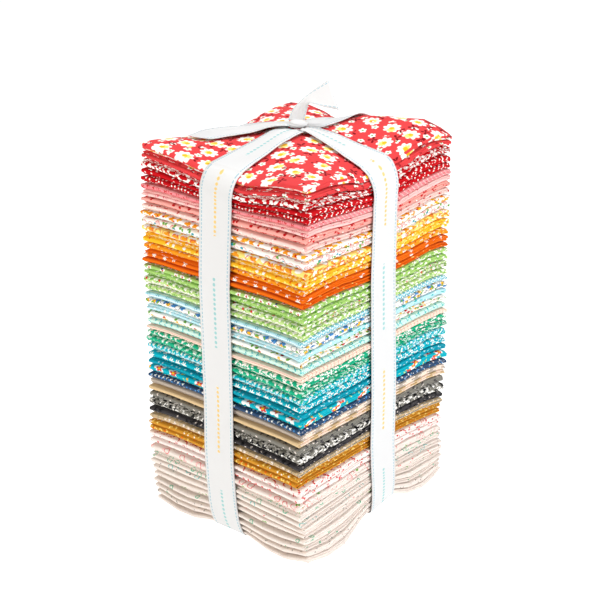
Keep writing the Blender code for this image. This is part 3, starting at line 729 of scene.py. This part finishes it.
def linear(colour):
    """Return a colour as the eye sees it in the linear values that shaders take, with alpha 1."""
    values = np.asarray(colour, float)
    low = values / 12.92
    high = ((values + 0.055) / 1.055) ** 2.4
    return (*np.where(values <= 0.04045, low, high), 1.0)


class Maker:
    """Adds nodes to one node tree. Each input is given as a value or another node's output."""

    def __init__(self, tree):
        self.tree = tree

    def node(self, kind, *values, **settings):
        made = self.tree.nodes.new(kind)
        for name, value in settings.items():
            setattr(made, name, value)
        for socket, value in zip(made.inputs, values):
            self.feed(socket, value)
        return made

    def feed(self, socket, value):
        if isinstance(value, bpy.types.NodeSocket):
            self.tree.links.new(value, socket)
        else:
            socket.default_value = value

    def math(self, way, *values, clamp=False):
        return self.node("ShaderNodeMath", *values, operation=way, use_clamp=clamp).outputs[0]

    def plus(self, *values):
        return self.math("ADD", *values)

    def minus(self, *values, clamp=False):
        return self.math("SUBTRACT", *values, clamp=clamp)

    def times(self, *values, clamp=False):
        return self.math("MULTIPLY", *values, clamp=clamp)

    def vector(self, way, *values, out=0):
        return self.node("ShaderNodeVectorMath", *values, operation=way).outputs[out]

    def scale(self, vector, factor):
        made = self.node("ShaderNodeVectorMath", vector, operation="SCALE")
        self.feed(made.inputs["Scale"], factor)
        return made.outputs[0]

    def split(self, vector):
        return self.node("ShaderNodeSeparateXYZ", vector).outputs

    def join(self, *values):
        return self.node("ShaderNodeCombineXYZ", *values).outputs[0]

    def mix(self, share, under, over):
        made = self.node("ShaderNodeMix", data_type="RGBA")
        self.feed(made.inputs[0], share)
        self.feed(made.inputs[6], under)
        self.feed(made.inputs[7], over)
        return made.outputs[2]

    def place(self, group, **values):
        made = self.node("ShaderNodeGroup", node_tree=group)
        for name, value in values.items():
            self.feed(made.inputs[name.replace("_", " ").capitalize()], value)
        return made.outputs


# Sockets that take no numbers
SOCKETS = {"Cloth": "NodeSocketVector", "Ink": "NodeSocketColor", "Color": "NodeSocketColor"}


def new_group(name, inputs, outputs):
    """Return a new node group with its maker, its inputs and its output node."""
    group = bpy.data.node_groups.new(name, "ShaderNodeTree")
    for way, labels in (("INPUT", inputs), ("OUTPUT", outputs)):
        for label in labels:
            kind = SOCKETS.get(label, "NodeSocketFloat")
            group.interface.new_socket(label, in_out=way, socket_type=kind)
    maker = Maker(group)
    given = maker.node("NodeGroupInput").outputs
    result = maker.node("NodeGroupOutput").inputs
    return group, maker, given, result


FULL_TURN = 6.283
SEED_SHIFT = (7.31, 3.77)  # places that a seed of 1 moves the print along x and y
ROAM = 1.8  # share of its free room by which a motif moves, both ways
SHARP = 28.0  # how fast a motif's edge changes to its ground
HEART = 0.34  # a flower's middle, as a share of its size
PETAL_POWER = 1.6  # more makes the petals wider
RING_SHARP = 14.0
LEAF, STEM, STEM_BEND = 0.28, 0.02, 0.9
LINE_SHARP = 24.0
SCALLOP_SHARP = 16.0
PLAID_THREADS, PLAID_WIDTH, PLAID_INK = 6.0, 0.45, 0.8
THREAD = 0.42  # half wave of the plain weave, in mm
THREAD_BUMP, OVER_BUMP = 0.35, 0.3
SHADE, CLOUD_SHADE, OVER_SHADE = 0.95, 0.08, 0.03
CLOUD_SCALE = 55.0


def bricks(m, x, y):
    """Return x moved half a place in every other row."""
    odd = m.math("FLOORED_MODULO", m.math("FLOOR", y), 2.0)
    return m.plus(x, m.times(odd, 0.5))


def motif_group():
    """Motifs strewn over the cloth, one to a place, turned and moved at random.

    A motif's edge is size times 1 less depth where the cosine of petals times the angle is low.
    A sprig is a bent stem, as long as the motif, with leaves whose width is a sine along it.
    """
    group, m, given, result = new_group(
        "Strewn motif", ("Cloth", "Spacing", "Size", "Share", "Petals", "Depth", "Seed"),
        ("Bloom", "Heart", "Ring", "Sprig"))
    scaled = m.scale(given["Cloth"], m.math("DIVIDE", 1000.0, given["Spacing"]))
    moved = m.join(*(m.times(given["Seed"], shift) for shift in SEED_SHIFT), 0.0)
    scaled = m.vector("ADD", scaled, moved)
    x, y, _ = m.split(scaled)
    x = bricks(m, x, y)
    cell = m.join(m.math("FLOOR", x), m.math("FLOOR", y), given["Seed"])
    noise = m.node("ShaderNodeTexWhiteNoise", cell, noise_dimensions="3D")
    chance_x, chance_y, chance_turn = m.split(noise.outputs["Color"])
    room = m.minus(0.5, given["Size"], clamp=True)

    def in_cell(value, chance):
        move = m.times(m.minus(chance, 0.5), m.times(room, ROAM))
        return m.minus(m.minus(m.math("FRACT", value), 0.5), move)

    here_x, here_y = in_cell(x, chance_x), in_cell(y, chance_y)
    here = m.join(here_x, here_y, 0.0)
    far = m.vector("LENGTH", here, out=1)
    angle = m.plus(m.math("ARCTAN2", here_y, here_x), m.times(chance_turn, FULL_TURN))
    petal = m.minus(0.5, m.times(m.math("COSINE", m.times(angle, given["Petals"])), 0.5))
    petal = m.math("POWER", petal, PETAL_POWER)
    edge = m.times(given["Size"], m.minus(1.0, m.times(petal, given["Depth"])))
    there = m.math("LESS_THAN", noise.outputs["Value"], given["Share"])

    def inside(limit):
        near = m.times(m.minus(limit, far), SHARP, clamp=True)
        return m.times(near, there)

    m.feed(result["Bloom"], inside(edge))
    m.feed(result["Heart"], inside(m.times(given["Size"], HEART)))
    from_rim = m.math("ABSOLUTE", m.minus(far, given["Size"]))
    rim = m.minus(1.0, m.times(from_rim, RING_SHARP), clamp=True)
    m.feed(result["Ring"], m.times(rim, there))
    rotate = m.node("ShaderNodeVectorRotate", here, rotation_type="Z_AXIS")
    m.feed(rotate.inputs["Angle"], m.times(chance_turn, FULL_TURN))
    stem_x, stem_y, _ = m.split(rotate.outputs[0])
    bent = m.minus(stem_y, m.times(m.times(stem_x, stem_x), STEM_BEND))
    part = m.math("DIVIDE", stem_x, given["Size"])
    leaf = m.math("ABSOLUTE", m.math("SINE", m.times(m.times(part, given["Petals"]), math.pi / 2)))
    leaf = m.times(m.times(leaf, given["Depth"]), LEAF)
    across = m.minus(m.plus(leaf, STEM), m.math("ABSOLUTE", bent))
    along = m.minus(given["Size"], m.math("ABSOLUTE", stem_x))
    stem = m.times(m.math("MINIMUM", across, along), SHARP, clamp=True)
    m.feed(result["Sprig"], m.times(stem, there))
    return group


def stripe_group():
    """Stripes, plaid, a slanting lattice and rows of scallops, at one spacing."""
    group, m, given, result = new_group(
        "Woven lines", ("Cloth", "Spacing", "Width"),
        ("Lines", "Band", "Plaid", "Lattice", "Scallop"))
    scaled = m.scale(given["Cloth"], m.math("DIVIDE", 1000.0, given["Spacing"]))
    x, y, _ = m.split(scaled)

    def stripe(value, width):
        near = m.math("ABSOLUTE", m.minus(m.math("FRACT", value), 0.5))
        half = m.times(width, 0.5)
        return m.times(m.minus(half, near), LINE_SHARP, clamp=True)

    across, along = stripe(x, given["Width"]), stripe(y, given["Width"])
    m.feed(result["Lines"], m.math("MAXIMUM", across, along))
    m.feed(result["Band"], along)
    fine = stripe(m.times(x, PLAID_THREADS), PLAID_WIDTH)
    m.feed(result["Plaid"], m.times(m.times(across, fine), PLAID_INK))
    slant_one = stripe(m.plus(x, y), given["Width"])
    slant_two = stripe(m.minus(x, y), given["Width"])
    m.feed(result["Lattice"], m.math("MAXIMUM", slant_one, slant_two))
    here_x = m.minus(m.math("FRACT", bricks(m, x, y)), 0.5)
    far = m.vector("LENGTH", m.join(here_x, m.math("FRACT", y), 0.0), out=1)
    outer = m.times(m.minus(0.5, far), SCALLOP_SHARP, clamp=True)
    inner = m.times(m.minus(m.minus(0.5, given["Width"]), far), SCALLOP_SHARP, clamp=True)
    m.feed(result["Scallop"], m.minus(outer, inner, clamp=True))
    return group


def weave_group():
    """Plain weave: over and under threads as a product of sines, with slight cloudy shade."""
    group, m, given, result = new_group("Plain weave", ("Cloth", "Ink"), ("Color", "Height"))
    scaled = m.scale(given["Cloth"], 3141.6 / THREAD)
    x, y, _ = m.split(scaled)
    sine_x, sine_y = m.math("SINE", x), m.math("SINE", y)
    over = m.times(sine_x, sine_y)
    height = m.plus(m.math("ABSOLUTE", sine_x), m.math("ABSOLUTE", sine_y))
    height = m.plus(m.times(height, THREAD_BUMP), m.times(over, OVER_BUMP))
    m.feed(result["Height"], height)
    cloud = m.node("ShaderNodeTexNoise", m.scale(given["Cloth"], CLOUD_SCALE), noise_dimensions="2D")
    m.feed(cloud.inputs["Detail"], 3.0)
    shade = m.plus(SHADE, m.times(cloud.outputs[0], CLOUD_SHADE))
    shade = m.plus(shade, m.times(over, OVER_SHADE))
    m.feed(result["Color"], m.scale(given["Ink"], shade))
    return group


# Bump strength, bump distance in metres, roughness, specular level
COTTON_LOOK = (0.35, 0.00008, 0.88, 0.10)
RIBBON_LOOK = (0.30, 0.00012, 0.62, 0.15)


def new_material(name):
    """Return a new material with its maker and its shader's inputs."""
    material = bpy.data.materials.new(name)
    material.use_nodes = True
    return material, Maker(material.node_tree), material.node_tree.nodes["Principled BSDF"].inputs


def flat_cloth(m):
    """Return the place on the flat cloth, in metres."""
    return m.node("ShaderNodeUVMap", uv_map="flat").outputs[0]


def finish_cloth(m, shader, colour, height, look):
    """Give the shader its colour, a bump from height, and its look."""
    strength, distance, roughness, specular = look
    bump = m.node("ShaderNodeBump")
    m.feed(bump.inputs["Strength"], strength)
    m.feed(bump.inputs["Distance"], distance)
    m.feed(bump.inputs["Height"], height)
    m.feed(shader["Normal"], bump.outputs[0])
    m.feed(shader["Base Color"], colour)
    m.feed(shader["Roughness"], roughness)
    m.feed(shader["Specular IOR Level"], specular)


def cloth_material(name, ground, layers, seed, groups):
    """Return a printed cotton: its ground, its print's layers one over another, and the weave.

    Layers with one spacing share their places, such as a flower and its middle.
    """
    material, m, shader = new_material(name)
    cloth = flat_cloth(m)
    colour = linear(INK[ground])
    for kind, spacing, size, *strewn in layers:
        ink, motif = kind.rsplit(" ", 1)
        if strewn:
            share, petals, depth = (*strewn, 1, 0)[:3]
            out = m.place(groups["motif"], cloth=cloth, spacing=spacing, size=size / 100,
                          share=share / 100, petals=petals, depth=depth / 100, seed=seed + spacing)
        else:
            out = m.place(groups["stripe"], cloth=cloth, spacing=spacing, width=size / 100)
        colour = m.mix(out[motif.capitalize()], colour, linear(INK[ink]))
    out = m.place(groups["weave"], cloth=cloth, ink=colour)
    finish_cloth(m, shader, out["Color"], out["Height"], COTTON_LOOK)
    m.feed(shader["Sheen Weight"], 0.03)
    m.feed(shader["Sheen Roughness"], 0.5)
    return material


# Sizes of the ribbon's print, in mm
STITCH_IN = 1.9  # from the edge to the stitched line
STITCH_STEP, STITCH_GAP = 2.6, 0.38  # a stitch with its gap, and the gap's share of it
DOT_STEP, DOT_RADIUS = 3.2, 1.2
ROW_STEP, ROW_SHARE = 74.0, 0.62  # a row of dots with its gap, and the row's share of it
RIB, RIB_BUMP = 0.55, 0.4
STITCH_SHARP, DOT_SHARP, EDGE_SHARP = 1.7, 4.0, 1.6
STITCH_INK, DOT_INK = 0.9, 0.8  # how much of the ground each colour covers


def ribbon_material():
    """Return white woven ribbon with fine ribs, a stitched line near each edge and rows of dots."""
    material, m, shader = new_material("ribbon")
    across, along, _ = m.split(m.scale(flat_cloth(m), 1000.0))
    from_edge = m.minus(RIBBON_WIDTH * 500, m.math("ABSOLUTE", across))
    from_line = m.math("ABSOLUTE", m.minus(from_edge, STITCH_IN))
    line = m.minus(1.0, m.times(from_line, STITCH_SHARP), clamp=True)
    dash = m.math("GREATER_THAN", m.math("FRACT", m.math("DIVIDE", along, STITCH_STEP)), STITCH_GAP)
    mask = m.times(m.times(line, dash), STITCH_INK)
    colour = m.mix(mask, linear(INK["ribbon"]), linear(INK["stitch"]))
    spot_y = m.minus(m.math("FRACT", m.math("DIVIDE", along, DOT_STEP)), 0.5)
    spot = m.vector("LENGTH", m.join(across, m.times(spot_y, DOT_STEP), 0.0), out=1)
    spot = m.times(m.minus(DOT_RADIUS, spot), DOT_SHARP, clamp=True)
    stretch = m.math("DIVIDE", along, ROW_STEP)
    printed = m.math("LESS_THAN", m.math("FRACT", stretch), ROW_SHARE)
    printed = m.times(printed, m.math("LESS_THAN", along, 1000 * FREE_FROM))
    odd = m.math("FLOORED_MODULO", m.math("FLOOR", stretch), 2.0)
    ink = m.mix(odd, linear(INK["dot teal"]), linear(INK["dot yellow"]))
    colour = m.mix(m.times(m.times(spot, printed), DOT_INK), colour, ink)
    rib = m.math("SINE", m.times(along, 2 * math.pi / RIB))
    edge = m.minus(1.0, m.times(from_edge, EDGE_SHARP), clamp=True)
    height = m.plus(m.times(rib, RIB_BUMP), edge)
    finish_cloth(m, shader, colour, height, RIBBON_LOOK)
    return material


# Floor, light and camera

SURROUND = 0.36  # light from all round, as a share of the white that the camera sees
LIGHT_AIM = (0, 0, 0.13)
# Name, place, size in metres, power in watts and colour
LIGHTS = (
    ("key", (1.4, 0.1, 1.2), 0.6, 16.5, (1, 1, 1)),
    ("front", (-0.6, -1.4, 0.8), 0.5, 10.7, (1, 0.94, 0.85)),
    ("top", (0.1, 0.2, 1.8), 0.7, 15.5, (1, 1, 1)),
)
CAMERA_PLACE = (0.5714, -0.6837, 0.5115)
CAMERA_PITCH, CAMERA_TURN = math.radians(67.67), math.radians(39.81)
LENS, SENSOR = 88.06, 36
FLOOR_HALF, FLOOR_WHITE, FLOOR_GLOW = 6, 0.8, 0.6


def add_floor():
    """Add the plain white sheet that the bundle stands on."""
    mesh = bpy.data.meshes.new("floor")
    ways = ((-1, -1), (1, -1), (1, 1), (-1, 1))
    corners = [(x * FLOOR_HALF, y * FLOOR_HALF, 0) for x, y in ways]
    mesh.from_pydata(corners, [], [(0, 1, 2, 3)])
    floor = new_object("floor", mesh)
    material, m, shader = new_material("white sheet")
    m.feed(shader["Base Color"], (FLOOR_WHITE, FLOOR_WHITE, FLOOR_WHITE, 1))
    m.feed(shader["Roughness"], 0.9)
    m.feed(shader["Emission Color"], (1, 1, 1, 1))
    m.feed(shader["Emission Strength"], FLOOR_GLOW)
    mesh.materials.append(material)


def add_light(name, place, size, power, colour):
    """Add a square soft light at place that points at the bundle's middle."""
    lamp = bpy.data.lights.new(name, "AREA")
    lamp.size = size
    lamp.energy = power
    lamp.color = colour
    light = new_object(name, lamp)
    away = np.subtract(place, LIGHT_AIM)
    light.location = place
    light.rotation_euler = (math.atan2(math.hypot(away[0], away[1]), away[2]), 0,
                            math.atan2(away[0], -away[1]))


def add_studio():
    """Add white surroundings that light the bundle softly, the lights and the camera."""
    world = bpy.data.worlds.new("studio")
    world.use_nodes = True
    m = Maker(world.node_tree)
    seen = m.node("ShaderNodeLightPath").outputs["Is Camera Ray"]
    level = m.plus(SURROUND, m.times(seen, 1.0 - SURROUND))
    background = world.node_tree.nodes["Background"].inputs
    m.feed(background["Color"], (1, 1, 1, 1))
    m.feed(background["Strength"], level)
    scene.world = world
    for light in LIGHTS:
        add_light(*light)
    scene.view_settings.view_transform = "Standard"
    camera = bpy.data.cameras.new("camera")
    camera.lens = LENS
    camera.sensor_width = SENSOR
    view = new_object("camera", camera)
    view.location = CAMERA_PLACE
    view.rotation_euler = (CAMERA_PITCH, 0, CAMERA_TURN)
    scene.camera = view


groups = {"motif": motif_group(), "stripe": stripe_group(), "weave": weave_group()}
cottons = {name: cloth_material(name, ground, layers, 3.0 * number, groups)
           for number, (name, _, ground, layers) in enumerate(FAT_QUARTERS, start=1)}
add_fat_quarters(cottons)
ribbon = ribbon_material()
add_bands(ribbon)
add_knot(ribbon)
add_free_ends(ribbon)
add_floor()
add_studio()
